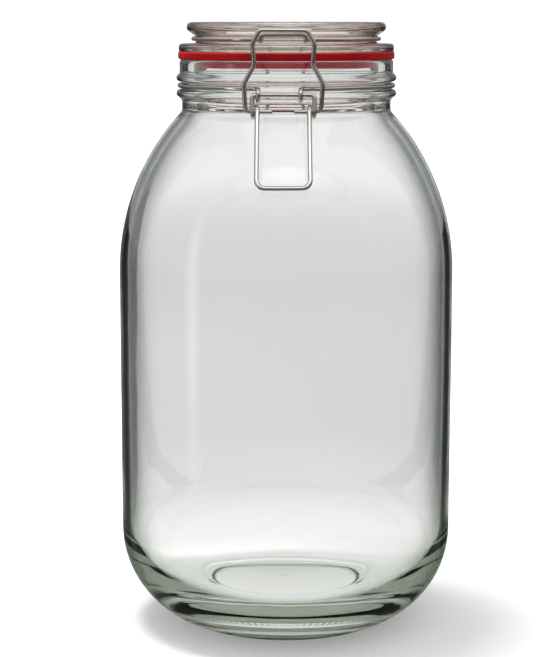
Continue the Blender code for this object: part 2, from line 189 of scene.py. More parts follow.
class WireSizes(bpy.types.PropertyGroup):
    """Sizes of the bands, the link and the lever."""
    wire: length("Wire", "Diameter of the wire", 2.0 * MM)
    eye: length("Eye", "Radius of an eye's centre line", 2.3 * MM)
    band_radius: length("Neck band", "Radius of the neck band's centre line", 47.4 * MM)
    lid_band_radius: length("Lid band", "Radius of the lid band's centre line", 41.1 * MM)
    catch_out: length("Catch", "How far in front of the axis the catch bar is", 50.0 * MM)
    catch_z: length("Catch height", "Height of the catch bar", 265.9 * MM)
    catch_half: length("Catch half width", "Half the width of the catch", 9.4 * MM)
    catch_leg_z: length("Catch leg", "Height of the catch's legs", 263.2 * MM)
    pivot_half: length("Pivot half width", "Half the width of the lever's pivot bar", 13.1 * MM)
    handle_half: length("Handle half width", "Half the width of the handle's end", 11.3 * MM)
    handle_out: length("Handle reach", "How far in front of the axis the handle ends", 68.9 * MM)
    handle_z: length("Handle end", "Height of the handle's end", 203.4 * MM)
    handle_corner: length("Handle corner", "Bend radius of the handle's corners", 3.4 * MM)
    left_eye: length("Left eye", "Place of the neck band's left eye", -10.6 * MM)
    right_eye: length("Right eye", "Place of its right eye", 7.3 * MM)
    hinge_half: length("Hinge half width", "Half the width of the bow behind", 9.5 * MM)
    hinge_foot: length("Hinge foot", "How far behind the axis the bow rises", 52.0 * MM)
    hinge_eye: length("Hinge eye", "Place of the lid band's eyes on the bow", 5.5 * MM)
    waver: length("Waver", "Unevenness of the bent wire", 0.07 * MM)


class Finishes(bpy.types.PropertyGroup):
    """Colours of the materials."""
    glass: colour("Glass", "Surface tint of the glass", (0.99, 0.995, 0.992))
    # Painted reflection: the lid's warm tint stands in for the red ring mirrored in its glass.
    lid_glass_painted_reflection: colour("Lid glass", "Surface tint of the lid's glass", (0.985, 0.91, 0.85))
    # Painted shade: the two colours that glass is darkened towards where it is seen edge on, in the wall
    # and in the base.
    painted_edge_shade: colour("Glass edge", "Colour of glass seen edge on", (0.03, 0.045, 0.035))
    painted_base_edge_shade: colour("Base edge", "The same in the heavy base", (0.50, 0.53, 0.44))
    glass_depth: colour("Glass depth", "Colour that thick glass takes", (0.54, 0.60, 0.52))
    rubber: colour("Rubber", "Red of the sealing ring", (0.74, 0.001, 0.008))
    steel: colour("Steel", "Colour of the drawn wire", (0.40, 0.365, 0.325))
    floor: colour("Floor", "Pale floor", (0.90, 0.90, 0.90))


class Canister(bpy.types.PropertyGroup):
    """All the settings of the canister."""
    jar: bpy.props.PointerProperty(type=JarSizes, name="Jar", description="Sizes of the jar")
    lid: bpy.props.PointerProperty(type=LidSizes, name="Lid", description="Sizes of the lid")
    wires: bpy.props.PointerProperty(type=WireSizes, name="Wires", description="Sizes of the wires")
    finish: bpy.props.PointerProperty(type=Finishes, name="Finishes", description="Colours")


# ---------------------------------------------------------------- surfaces

def skin(name, rings, loop=False, uv=None):
    """A closed mesh over rings of points, an array (ring, point, 3) whose points go once round.

    Each point is joined to the next in its ring and to the same point of the next ring. With loop
    the last ring joins the first. Otherwise the first and last rings are single points repeated,
    and each becomes one vertex with a fan of triangles. Faces are turned outwards by the sign of
    the volume, the sum of a . (b x c) over the triangles.
    """
    count, sides = rings.shape[:2]
    if loop:
        points = rings.reshape(-1, 3)
        index = np.arange(count * sides).reshape(count, sides)
        index = np.vstack([index, index[:1]])
    else:
        points = np.vstack([rings[:1, 0], rings[1:-1].reshape(-1, 3), rings[-1:, 0]])
        index = 1 + np.arange((count - 2) * sides).reshape(count - 2, sides)
    ahead = np.roll(index, -1, axis=1)
    quads = np.stack([index[:-1], ahead[:-1], ahead[1:], index[1:]], axis=-1).reshape(-1, 4)
    fans = np.zeros((0, 3), int)
    if not loop:
        last = np.full(sides, len(points) - 1)
        first_fan = np.stack([np.zeros(sides, int), ahead[0], index[0]], axis=-1)
        last_fan = np.stack([last, index[-1], ahead[-1]], axis=-1)
        fans = np.vstack([first_fan, last_fan])
    corners = points[quads]
    volume = np.einsum("ij,ij->i", corners[:, 0], np.cross(corners[:, 1], corners[:, 2])).sum()
    volume += np.einsum("ij,ij->i", corners[:, 0], np.cross(corners[:, 2], corners[:, 3])).sum()
    if volume < 0:
        quads, fans = quads[:, ::-1], fans[:, ::-1]
    mesh = bpy.data.meshes.new(name)
    mesh.vertices.add(len(points))
    mesh.vertices.foreach_set("co", points.astype(np.float32).ravel())
    loops = np.concatenate([quads.ravel(), fans.ravel()])
    mesh.loops.add(len(loops))
    mesh.loops.foreach_set("vertex_index", loops.astype(np.int32))
    totals = np.concatenate([np.full(len(quads), 4), np.full(len(fans), 3)])
    mesh.polygons.add(len(totals))
    mesh.polygons.foreach_set("loop_start", np.concatenate([[0], np.cumsum(totals)[:-1]]).astype(np.int32))
    mesh.update(calc_edges=True)
    mesh.validate()
    mesh.shade_smooth()
    if uv is not None:
        layer = mesh.uv_layers.new(name="along")
        layer.data.foreach_set("uv", uv[loops].astype(np.float32).ravel())
    piece = bpy.data.objects.new(name, mesh)
    bpy.context.scene.collection.objects.link(piece)
    return piece


def line(start, end, step):
    """Points from start up to, and not at, end: start + (end - start) t."""
    start, end = np.array(start, float), np.array(end, float)
    count = max(1, int(np.ceil(np.linalg.norm(end - start) / step)))
    return start + (end - start) * (np.arange(count) / count)[:, None]


def arc(centre, radius, start_deg, end_deg, step):
    """Points on a circle, both ends included: centre + radius (cos a, sin a)."""
    start, end = np.radians(start_deg), np.radians(end_deg)
    count = max(3, int(np.ceil(abs(end - start) * radius / step)))
    angle = np.linspace(start, end, count + 1)
    return np.stack([centre[0] + radius * np.cos(angle), centre[1] + radius * np.sin(angle)], axis=-1)


def soften(profile, passes, closed=False):
    """Rounds a profile's corners: each pass moves a point halfway to the mean of its neighbours."""
    shape = profile.copy()
    for _ in range(passes):
        mean = (np.roll(shape, 1, axis=0) + np.roll(shape, -1, axis=0)) / 2
        moved = (shape + mean) / 2
        if not closed:
            moved[0], moved[-1] = shape[0], shape[-1]
        shape = moved
    return shape


def turned(name, profile, ripple=0.0, loop=False, knurl=0.0):
    """A profile (r, z) carried round Z: (r cos a, r sin a, z).

    Ripple adds to r a sum of slow waves in a and z, as blown glass has, and none on the axis.
    Knurl lifts the lowest ring by a wave cos(KNURLS a), so that it stands on small feet.
    """
    angle = np.arange(TURN_COUNT) * (2 * np.pi / TURN_COUNT)
    r, z = profile[:, :1], profile[:, 1:]
    swell = 0.50 * np.sin(3 * angle + 21 * z + 0.4) * np.cos(34 * z + 1.1)
    swell = swell + 0.32 * np.sin(5 * angle - 47 * z + 2.0) + 0.18 * np.sin(9 * angle + 83 * z)
    fade = np.clip(r / (20 * MM), 0, 1)
    radius = r + ripple * swell * fade
    height = np.broadcast_to(z, radius.shape)
    if knurl:
        low = np.clip(1 - z / (0.6 * MM), 0, 1) * (r > 20 * MM)
        height = height + knurl * low * (0.5 + 0.5 * np.cos(KNURLS * angle))
    rings = np.stack([radius * np.cos(angle), radius * np.sin(angle), height], axis=-1)
    return skin(name, rings, loop=loop)


def place(x, out, z, side=FRONT):
    """A point at x and height z, a distance out from the axis towards the front or the back."""
    return np.array([x, 0.0, z]) + side * out


def bent(corners):
    """A bent centre line. Corners are (point, bend radius), and a bend is an arc of that radius
    that touches both straight runs: middle + first cos t + across sin t."""
    stretches = [np.array(corners[0][0], float)[None]]
    for (before, _), (corner, radius), (after, _) in zip(corners, corners[1:], corners[2:]):
        corner = np.array(corner, float)
        if radius == 0:
            stretches.append(corner[None])
            continue
        back = (before - corner) / np.linalg.norm(before - corner)
        ahead = (after - corner) / np.linalg.norm(after - corner)
        turn = np.pi - np.arccos(np.clip(back @ ahead, -1, 1))
        reach = radius * np.tan(turn / 2)
        middle = corner + (back + ahead) / np.linalg.norm(back + ahead) * radius / np.cos(turn / 2)
        first = corner + back * reach - middle
        across = (corner + ahead * reach - middle) - first * np.cos(turn)
        across = across / np.linalg.norm(across) * radius
        t = np.linspace(0, turn, 9)[:, None]
        stretches.append(middle + first * np.cos(t) + across * np.sin(t))
    stretches.append(np.array(corners[-1][0], float)[None])
    return np.vstack(stretches)


def even(path, step):
    """The same path with points a step apart, by its length along, corners slightly softened."""
    along = np.concatenate([[0], np.cumsum(np.linalg.norm(np.diff(path, axis=0), axis=1))])
    count = int(np.ceil(along[-1] / step))
    at = np.linspace(0, along[-1], count + 1)
    spaced = np.stack([np.interp(at, along, path[:, i]) for i in range(3)], axis=-1)
    return soften(spaced, 3), at


def wire(name, path, diameter, waver=0.0, seed=0.0):
    """A circle carried along a centre line, with chamfered ends.

    The section's two directions are the tangent crossed with a fixed slanting vector, which no
    run of these wires follows, and the tangent crossed with that. UV is (length along, turn).
    """
    centre, at = even(path, WIRE_STEP)
    phase = at / (60 * MM)
    sway = np.stack([np.sin(7 * phase + seed), np.sin(9 * phase + 2 * seed + 1),
                     np.sin(8 * phase + 3 * seed + 2)], axis=-1)
    ease = np.clip(np.minimum(at, at[-1] - at) / (6 * MM), 0, 1)[:, None]
    centre = centre + waver * sway * ease
    tangent = np.gradient(centre, axis=0)
    tangent /= np.linalg.norm(tangent, axis=1, keepdims=True)
    radius = np.full(len(centre), diameter / 2)
    # Each end gets a pole, a flat ring and a full ring a chamfer further in.
    head = centre[0] + tangent[0] * np.array([0, 0, WIRE_CHAMFER])[:, None]
    tail = centre[-1] - tangent[-1] * np.array([WIRE_CHAMFER, 0, 0])[:, None]
    centre = np.vstack([head, centre[1:-1], tail])
    tangent = np.vstack([tangent[:1]] * 3 + [tangent[1:-1]] + [tangent[-1:]] * 3)
    small = diameter / 2 - WIRE_CHAMFER
    radius = np.concatenate([[0, small, diameter / 2], radius[1:-1], [diameter / 2, small, 0]])
    at = np.concatenate([[at[0]] * 3, at[1:-1], [at[-1]] * 3])
    slant = np.ones(3) / np.sqrt(3)
    one = np.cross(tangent, slant)
    one /= np.linalg.norm(one, axis=1, keepdims=True)
    two = np.cross(tangent, one)
    angle = np.arange(WIRE_SIDES) * (2 * np.pi / WIRE_SIDES)
    across = one[:, None] * np.cos(angle)[:, None] + two[:, None] * np.sin(angle)[:, None]
    rings = centre[:, None] + radius[:, None, None] * across
    u = np.broadcast_to(at[:, None], rings.shape[:2])
    v = np.broadcast_to(np.sin(angle)[None], rings.shape[:2])
    uv = np.stack([u, v], axis=-1)
    uv = np.vstack([uv[:1, 0], uv[1:-1].reshape(-1, 2), uv[-1:, 0]])
    return skin(name, rings, uv=uv)


def eye(x, out, z, radius, side, start_deg, end_deg, drift=0.0):
    """A turn of wire round a pin along X. Angle 0 faces outwards and 90 is up."""
    t = np.linspace(0, 1, 25)[:, None]
    angle = np.radians(start_deg + (end_deg - start_deg) * t)
    middle = np.array([x, 0.0, z]) + side * out
    up = np.array([0.0, 0.0, 1.0])
    return middle + t * [drift, 0, 0] + radius * (np.cos(angle) * side + np.sin(angle) * up)


def round_band(radius, z, start_deg, end_deg):
    """Points round a band: radius (sin a, -cos a). Angle 0 is the front, growing towards +X."""
    angle = np.radians(np.arange(start_deg, end_deg, 1.5 if end_deg > start_deg else -1.5))
    return np.stack([radius * np.sin(angle), -radius * np.cos(angle), np.full(len(angle), z)], axis=-1)


def plain(points):
    """Points of a centre line that need no bend of their own."""
    return [(point, 0) for point in points]


# ---------------------------------------------------------------- outlines

def jar_profile(jar):
    """The jar's wall as one line: along the floor, up inside, over the rim, down outside, under."""
    heel_middle = jar.body_radius - jar.heel_radius
    heel_z = np.sqrt(jar.heel_radius ** 2 - (jar.seat_outer - heel_middle) ** 2)
    heel_end = np.degrees(np.arcsin(heel_z / jar.heel_radius))
    inside = jar.body_radius - jar.wall
    inner_heel = (inside - jar.inner_heel, jar.floor_top + jar.inner_heel)
    shoulder = (jar.body_radius - jar.shoulder_radius, jar.shoulder_start)
    inner_shoulder = jar.shoulder_radius - jar.wall
    fillet_r = jar.neck_radius + jar.neck_fillet
    fillet_reach = jar.shoulder_radius + jar.neck_fillet
    fillet_rise = np.sqrt(fillet_reach ** 2 - (fillet_r - shoulder[0]) ** 2)
    fillet = (fillet_r, shoulder[1] + fillet_rise)
    fillet_end = np.degrees(np.arcsin(fillet_rise / fillet_reach))
    neck_end = np.degrees(np.arccos((jar.mouth_radius + jar.wall / 2 - shoulder[0]) / inner_shoulder))
    floor_low = jar.floor_top - jar.floor_dish
    ridge_top = jar.floor_top + jar.ridge
    ridge_foot, ridge_crest, ridge_end = inner_heel[0] + np.array([-1.6, -0.2, 1.4]) * MM
    rim_top = JAR_HIGH.z
    rim_side = rim_top - jar.rim_round
    rim_in, rim_out = jar.mouth_radius + jar.rim_round, jar.rim_radius - jar.rim_round
    punt_top = jar.punt_height + 1.0 * MM
    lower_bead = jar.bead_z - jar.bead_pitch
    bead = jar.bead_round
    long_step, step, fine = 5.0 * MM, 2.5 * MM, 0.35 * MM

    def at(r, z):
        return np.array([[r, z]])

    inner_neck = arc(shoulder, inner_shoulder, 0, neck_end, step)
    rise = (jar.mouth_radius, inner_neck[-1, 1] + 6 * MM)
    bead_top = (jar.rim_radius, jar.bead_z + bead + 0.6 * MM)
    bead_foot = (jar.neck_radius, lower_bead - bead - 0.8 * MM)
    parts = [
        line((0, floor_low), (ridge_foot, floor_low), step),
        line((ridge_foot, floor_low), (ridge_crest, ridge_top), fine),
        line((ridge_crest, ridge_top), (ridge_end, jar.floor_top), fine),
        arc(inner_heel, jar.inner_heel, -87.5, 0, 1.5 * MM)[:-1],
        line((inside, inner_heel[1]), (inside, shoulder[1]), long_step),
        inner_neck,
        line(rise, (jar.mouth_radius, rim_side), 1.5 * MM),
        arc((rim_in, rim_side), jar.rim_round, 180, 90, fine),
        line((rim_in + fine, rim_top), (rim_out, rim_top), step / 2),
        arc((rim_out, rim_side), jar.rim_round, 90, 0, fine)[:-1],
        line((jar.rim_radius, rim_side), bead_top, 0.6 * MM),
        at(*bead_top),
        arc((jar.bead_middle, jar.bead_z), bead, 75, -90, fine),
        line((jar.groove_radius, jar.bead_z - bead), (jar.groove_radius, lower_bead + bead), fine),
        arc((jar.bead_middle, lower_bead), bead, 90, -75, fine),
        line(bead_foot, (jar.neck_radius, fillet[1]), 0.8 * MM),
        arc(fillet, jar.neck_fillet, 180, 180 + fillet_end, fine)[:-1],
        arc(shoulder, jar.shoulder_radius, fillet_end, 0, step)[:-1],
        line((jar.body_radius, shoulder[1]), (jar.body_radius, heel_z), long_step),
        arc((heel_middle, heel_z), jar.heel_radius, 0, -heel_end, 1.2 * MM),
        line((jar.seat_outer - fine, 0), (jar.seat_inner, 0), fine * 1.5),
        line((jar.seat_inner, 0), (jar.punt_radius, jar.punt_height), fine * 1.5),
        line((jar.punt_radius, jar.punt_height), (0, punt_top), step),
        at(0, punt_top),
    ]
    return soften(np.vstack(parts), 2)


def lid_profile(lid):
    """The lid's section: out over the sunk top, round the rim, into the groove, round the flange,
    along the plug ring and back under the middle."""
    rim = (lid.rim_middle, LID_HIGH.z - lid.rim_round)
    step, fine = 1.2 * MM, 0.3 * MM
    edge = (lid.flange_radius - lid.flange_round, lid.flange_top - lid.flange_round)
    plug = (lid.plug_outer - lid.plug_round, LID_LOW.z + lid.plug_round)
    inner_plug = (lid.plug_inner + lid.plug_round, LID_LOW.z + lid.plug_round)
    groove_top, groove_bottom = HINGE.z + 1.0 * MM, HINGE.z - 1.0 * MM
    foot = 0.5 * MM
    rim_inside = (rim[0] - lid.rim_round * 0.7, LID_HIGH.z - 0.5 * MM)
    flange_start = lid.groove_radius + 1.0 * MM
    under_edge = (lid.flange_radius - 2 * foot, lid.flange_bottom)
    under_plug = (lid.plug_outer + foot, lid.flange_bottom)
    plug_root = (lid.plug_inner - lid.plug_round, lid.underside - foot)
    hollow = (0, lid.underside + 0.4 * MM)
    parts = [
        line((0, lid.dish_top + 0.6 * MM), (lid.dish_radius, lid.dish_top), step),
        line((lid.dish_radius, lid.dish_top), rim_inside, fine * 2),
        arc(rim, lid.rim_round, 120, -60, fine),
        line((lid.groove_radius, groove_top), (lid.groove_radius, groove_bottom), fine),
        line((lid.groove_radius, groove_bottom), (flange_start, lid.flange_top), fine),
        line((flange_start, lid.flange_top), (edge[0], lid.flange_top), fine * 2),
        arc(edge, lid.flange_round, 90, 0, fine),
        line((lid.flange_radius, edge[1] - fine), (lid.flange_radius, lid.flange_bottom + foot), fine),
        arc((lid.flange_radius - foot, lid.flange_bottom + foot), foot, 0, -90, fine / 2),
        line(under_edge, under_plug, step),
        line((lid.plug_outer, lid.flange_bottom - foot), (lid.plug_outer, plug[1]), fine * 2),
        arc(plug, lid.plug_round, 0, -90, fine),
        arc(inner_plug, lid.plug_round, -90, -180, fine),
        line((lid.plug_inner, inner_plug[1] + fine), plug_root, fine * 2),
        line((lid.plug_inner - 2 * lid.plug_round, lid.underside), hollow, step),
        np.array([hollow]),
    ]
    return soften(np.vstack(parts), 2)


def ring_profile(lid):
    """The rubber ring's section as a closed line: a flat band with worn edges and, inside, a short
    lip that hangs into the mouth."""
    low, high = JAR_HIGH.z + lid.ring_gap, lid.flange_bottom - lid.ring_gap
    outer, edge, step = RING_HIGH.x, 0.35 * MM, 0.25 * MM
    lip, lip_low = lid.lip_outer, lid.lip_low
    parts = [
        line((lid.ring_inner, lip_low), (lid.ring_inner, high), step),
        line((lid.ring_inner, high), (outer - edge, high), step),
        line((outer - edge, high), (outer, high - edge), step / 2),
        line((outer, high - edge), (outer, low + edge), step),
        line((outer, low + edge), (outer - edge, low), step / 2),
        line((outer - edge, low), (lip, low), step),
        line((lip, low), (lip, lip_low), step),
        line((lip, lip_low), (lid.ring_inner, lip_low), step),
    ]
    return soften(np.vstack(parts), 2, closed=True)


def neck_band_path(wires):
    """From the left eye round the left, up over the hinge, and round the right to the other eye."""
    band_z = PIVOT.z + wires.eye

    def front_end(x, away):
        start = np.degrees(np.arcsin((x + away * EYE_LEAD) / wires.band_radius))
        foot = np.sqrt(wires.band_radius ** 2 - x ** 2) + 0.3 * MM
        turn = [(place(x, foot, band_z), BEND)]
        return start, turn, plain(eye(x, -PIVOT.y, PIVOT.z, wires.eye, FRONT, -150, 90))

    left_start, left_turn, left_eye = front_end(PIVOT.x + wires.left_eye, -1)
    right_start, right_turn, right_eye = front_end(PIVOT.x + wires.right_eye, 1)
    leave = np.degrees(np.arcsin((wires.hinge_half + BOW_LEAD) / wires.band_radius))
    bow = []
    for side in (-1, 1):
        x = side * wires.hinge_half
        foot = np.sqrt(wires.band_radius ** 2 - x ** 2)
        leg = [(place(x, foot, band_z, BACK), BEND)]
        leg += [(place(x, wires.hinge_foot, band_z, BACK), WIDE_BEND)]
        leg += [(place(x, HINGE.y, HINGE.z, BACK), BEND)]
        bow += leg if side < 0 else leg[::-1]
    path = left_eye + left_turn
    path += plain(round_band(wires.band_radius, band_z, left_start, -180 + leave))
    path += bow
    path += plain(round_band(wires.band_radius, band_z, 180 - leave, right_start))
    return bent(path + right_turn + right_eye[::-1])


def lid_band_path(wires):
    """From the left hinge eye round the left, out to the catch, and back round the right."""
    leave_front = np.degrees(np.arcsin((wires.catch_half + CATCH_LEAD) / wires.lid_band_radius))
    leave_back = np.degrees(np.arcsin((wires.hinge_eye + BOW_LEAD) / wires.lid_band_radius))
    tilt = np.degrees(np.arcsin(PIVOT.x / wires.lid_band_radius))
    arms, nose = [], []
    for side in (-1, 1):
        x = side * wires.hinge_eye
        foot = np.sqrt(wires.lid_band_radius ** 2 - x ** 2)
        arm = [(place(x, foot, HINGE.z, BACK), BEND)]
        arm += [(place(x, foot + 5.0 * MM, HINGE.z, BACK), WIDE_BEND)]
        arm += [(place(x, HINGE.y - 3.0 * MM, HINGE.z + wires.eye, BACK), WIDE_BEND)]
        arms.append(arm + plain(eye(x, HINGE.y, HINGE.z, wires.eye, BACK, 90, -150)))
        x = PIVOT.x + side * wires.catch_half
        foot = np.sqrt(wires.lid_band_radius ** 2 - x ** 2)
        leg = [(place(x, foot, HINGE.z), 1.6 * MM)]
        leg += [(place(x, wires.catch_out - 0.6 * MM, wires.catch_leg_z), 1.1 * MM)]
        leg += [(place(x, wires.catch_out, wires.catch_z), 1.1 * MM)]
        nose += leg if side < 0 else leg[::-1]
    path = arms[0][::-1]
    path += plain(round_band(wires.lid_band_radius, HINGE.z, -180 + leave_back, tilt - leave_front))
    path += nose
    path += plain(round_band(wires.lid_band_radius, HINGE.z, tilt + leave_front, 180 - leave_back))
    return bent(path + arms[1])


def link_path(wires):
    """From the left stub up the left side, across the top bar and down to the right stub."""
    bar_z = LINK_HIGH.z - wires.wire / 2
    bar_out = wires.catch_out + 2.2 * MM
    lean = (bar_out + LINK_PIVOT.y) / (bar_z - LINK_PIVOT.z)
    half = [  # sideways, height, bend radius
        (4.5 * MM, LINK_PIVOT.z, 0),
        (15.8 * MM, LINK_PIVOT.z, 2.2 * MM),
        (16.5 * MM, 245.8 * MM, 3.0 * MM),
        (12.2 * MM, 253.6 * MM, 4.0 * MM),
        (13.0 * MM, 262.4 * MM, 2.5 * MM),
        (9.9 * MM, bar_z, 1.6 * MM),
    ]
    corners = []
    for side, rows in ((-1, half), (1, half[::-1])):
        for x, z, radius in rows:
            out = lean * (z - LINK_PIVOT.z) - LINK_PIVOT.y
            corners.append((place(PIVOT.x + side * x, out, z), radius))
    return bent(corners)


def lever_path(wires):
    """From the middle of the pivot bar, round the left stub, along the handle and back."""
    pivot_out, link_out = -PIVOT.y, -LINK_PIVOT.y
    reach, drop = wires.handle_out - link_out, wires.handle_z - LINK_PIVOT.z
    span = np.hypot(reach, drop)
    slope = np.degrees(np.arcsin(wires.eye / span)) + np.degrees(np.arcsin(reach / span))
    half = [(place(PIVOT.x - 0.06 * MM, pivot_out, PIVOT.z), 0)]
    half += [(place(PIVOT.x - wires.pivot_half, pivot_out, PIVOT.z), 1.4 * MM)]
    half += plain(eye(PIVOT.x - wires.pivot_half, link_out, LINK_PIVOT.z, wires.eye, FRONT,
                      8, slope - 360, wires.eye))
    half += [(place(PIVOT.x - wires.handle_half, wires.handle_out, wires.handle_z), wires.handle_corner)]
    mirror = np.array([-1.0, 1.0, 1.0])
    shift = np.array([2 * PIVOT.x, 0.0, 0.0])
    return bent(half + [(shift + mirror * point, radius) for point, radius in half[::-1]])


# ---------------------------------------------------------------- materials

def new_material(name):
    """A material with its shader, its output and its Object coordinates."""
    material = bpy.data.materials.new(name)
    material.use_nodes = True
    tree = material.node_tree
    where = tree.nodes.new("ShaderNodeTexCoord")
    return material, tree, tree.nodes["Principled BSDF"], where


def noise(tree, vector, scale, detail=3.0, roughness=0.5):
    """Cloudy noise over a vector."""
    node = tree.nodes.new("ShaderNodeTexNoise")
    node.inputs["Scale"].default_value = scale
    node.inputs["Detail"].default_value = detail
    node.inputs["Roughness"].default_value = roughness
    tree.links.new(vector, node.inputs["Vector"])
    return node.outputs["Fac"]


def ramp(tree, value, stops):
    """A colour ramp over (position, colour) stops."""
    node = tree.nodes.new("ShaderNodeValToRGB")
    while len(node.color_ramp.elements) < len(stops):
        node.color_ramp.elements.new(1)
    for element, (position, shade) in zip(node.color_ramp.elements, stops):
        element.position = position
        element.color = (*shade, 1)
    tree.links.new(value, node.inputs["Fac"])
    return node.outputs["Color"]


def to_range(tree, value, low, high):
    """A value of 0 to 1 stretched to low to high."""
    node = tree.nodes.new("ShaderNodeMapRange")
    node.inputs["To Min"].default_value = low
    node.inputs["To Max"].default_value = high
    tree.links.new(value, node.inputs["Value"])
    return node.outputs["Result"]


def bump(tree, shader, value, strength, distance):
    """Fine relief from a value, on the shader's normal."""
    node = tree.nodes.new("ShaderNodeBump")
    node.inputs["Strength"].default_value = strength
    node.inputs["Distance"].default_value = distance
    tree.links.new(value, node.inputs["Height"])
    tree.links.new(node.outputs["Normal"], shader.inputs["Normal"])


def maths(tree, operation, first, second):
    """One step of arithmetic on two values, each a number or a socket."""
    node = tree.nodes.new("ShaderNodeMath")
    node.operation = operation
    for value, socket in ((first, node.inputs[0]), (second, node.inputs[1])):
        if isinstance(value, (int, float)):
            socket.default_value = value
        else:
            tree.links.new(value, socket)
    return node.outputs["Value"]


def multiplied(tree, one, other):
    """One colour times another."""
    node = tree.nodes.new("ShaderNodeVectorMath")
    node.operation = "MULTIPLY"
    tree.links.new(one, node.inputs[0])
    tree.links.new(other, node.inputs[1])
    return node.outputs["Vector"]


def painted_shade_stops(edge):
    """Colours of a ramp from clear glass to the painted edge shade and back."""
    return [(position, tuple(1 - share * (1 - c) for c in edge)) for position, share in EDGE_SHADE]


def glass_material(name, tint, finish):
    """Clear soda glass: smooth, faintly waved and wiped, with painted shade where it is seen edge on."""
    material, tree, shader, where = new_material(name)
    shader.inputs["Transmission Weight"].default_value = 1.0
    shader.inputs["IOR"].default_value = GLASS_IOR
    wiped = noise(tree, where.outputs["Object"], 14.0, 5.0, 0.6)
    tree.links.new(to_range(tree, wiped, 0.0, 0.03), shader.inputs["Roughness"])
    pale = tuple(0.985 * c for c in tint)
    surface = ramp(tree, wiped, [(0.3, pale), (0.7, tuple(tint))])
    # Painted shade: the colour darkens where the glass is seen edge on, less so low in the heavy base.
    slope = tree.nodes.new("ShaderNodeLayerWeight")
    slope.inputs["Blend"].default_value = 0.5
    away = slope.outputs["Facing"]
    high = ramp(tree, away, painted_shade_stops(finish.painted_edge_shade))
    low = ramp(tree, away, painted_shade_stops(finish.painted_base_edge_shade))
    split = tree.nodes.new("ShaderNodeSeparateXYZ")
    tree.links.new(where.outputs["Object"], split.inputs["Vector"])
    height = to_range(tree, split.outputs["Z"], 0.0, 1.0)
    height.node.inputs["From Min"].default_value = BASE_FADE[0]
    height.node.inputs["From Max"].default_value = BASE_FADE[1]
    blend = tree.nodes.new("ShaderNodeMix")
    blend.data_type = "RGBA"
    tree.links.new(height, blend.inputs[0])
    tree.links.new(low, blend.inputs[6])
    tree.links.new(high, blend.inputs[7])
    tree.links.new(multiplied(tree, surface, blend.outputs[2]), shader.inputs["Base Color"])
    bump(tree, shader, noise(tree, where.outputs["Object"], 26.0, 2.0), 0.10, 1.2 * MM)
    depth = tree.nodes.new("ShaderNodeVolumeAbsorption")
    depth.inputs["Color"].default_value = (*finish.glass_depth, 1)
    depth.inputs["Density"].default_value = GLASS_DENSITY
    tree.links.new(depth.outputs["Volume"], tree.nodes["Material Output"].inputs["Volume"])
    return material


def rubber_material(finish):
    """Red rubber: a smooth satin skin with a fine grain and slightly darker patches."""
    material, tree, shader, where = new_material("red_rubber")
    patch = noise(tree, where.outputs["Object"], 60.0, 4.0)
    dark = tuple(0.72 * c for c in finish.rubber)
    red = ramp(tree, patch, [(0.3, dark), (0.65, tuple(finish.rubber))])
    tree.links.new(red, shader.inputs["Base Color"])
    tree.links.new(to_range(tree, patch, 0.36, 0.5), shader.inputs["Roughness"])
    shader.inputs["Specular IOR Level"].default_value = 0.22
    bump(tree, shader, noise(tree, where.outputs["Object"], 1400.0, 2.0), 0.25, 0.08 * MM)
    return material


def steel_material(finish):
    """Drawn steel wire: fine lines along the wire, dull patches and small nicks."""
    material, tree, shader, where = new_material("steel_wire")
    shader.inputs["Metallic"].default_value = 1.0
    stretch = tree.nodes.new("ShaderNodeMapping")
    stretch.inputs["Scale"].default_value = (60.0, 9.0, 1.0)
    tree.links.new(where.outputs["UV"], stretch.inputs["Vector"])
    drawn = noise(tree, stretch.outputs["Vector"], 3.0, 4.0, 0.65)
    patch = noise(tree, where.outputs["Object"], 120.0, 3.0)
    dull = tuple(0.62 * c for c in finish.steel)
    grey = ramp(tree, patch, [(0.32, dull), (0.62, tuple(finish.steel))])
    tree.links.new(grey, shader.inputs["Base Color"])
    tree.links.new(to_range(tree, drawn, 0.12, 0.28), shader.inputs["Roughness"])
    bump(tree, shader, drawn, 0.22, 0.05 * MM)
    return material


# ---------------------------------------------------------------- pieces

def finish_piece(piece, material, body, node):
    """Gives a piece its material and says which body it rides on and which CAD node it replaces."""
    piece.data.materials.append(material)
    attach(piece, body)
    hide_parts(node)
    return {"FINISHED"}


def shared(name, make):
    """The material of that name, made the first time it is asked for."""
    return bpy.data.materials.get(name) or make()


class CANISTER_OT_jar(bpy.types.Operator):
    """Makes the blown glass jar"""
    bl_idname = "canister.jar"
    bl_label = "Glass Jar"

    def execute(self, context):
        made = context.scene.canister
        piece = turned("jar_of_clear_glass", jar_profile(made.jar), made.jar.ripple, knurl=made.jar.knurl)
        glass = glass_material("jar_glass", made.finish.glass, made.finish)
        return finish_piece(piece, glass, "jar", "glass_jar")


class CANISTER_OT_lid(bpy.types.Operator):
    """Makes the pressed glass lid"""
    bl_idname = "canister.lid"
    bl_label = "Glass Lid"

    def execute(self, context):
        made = context.scene.canister
        piece = turned("lid_of_clear_glass", lid_profile(made.lid), made.jar.ripple * 0.3)
        # The lid's warm tint is a painted reflection of the red ring.
        glass = glass_material("lid_glass_painted_reflection", made.finish.lid_glass_painted_reflection, made.finish)
        return finish_piece(piece, glass, "lid", "glass_lid")


class CANISTER_OT_ring(bpy.types.Operator):
    """Makes the red rubber sealing ring"""
    bl_idname = "canister.ring"
    bl_label = "Sealing Ring"

    def execute(self, context):
        made = context.scene.canister
        piece = turned("rubber_ring", ring_profile(made.lid), loop=True)
        return finish_piece(piece, rubber_material(made.finish), "lid", "sealing_ring")


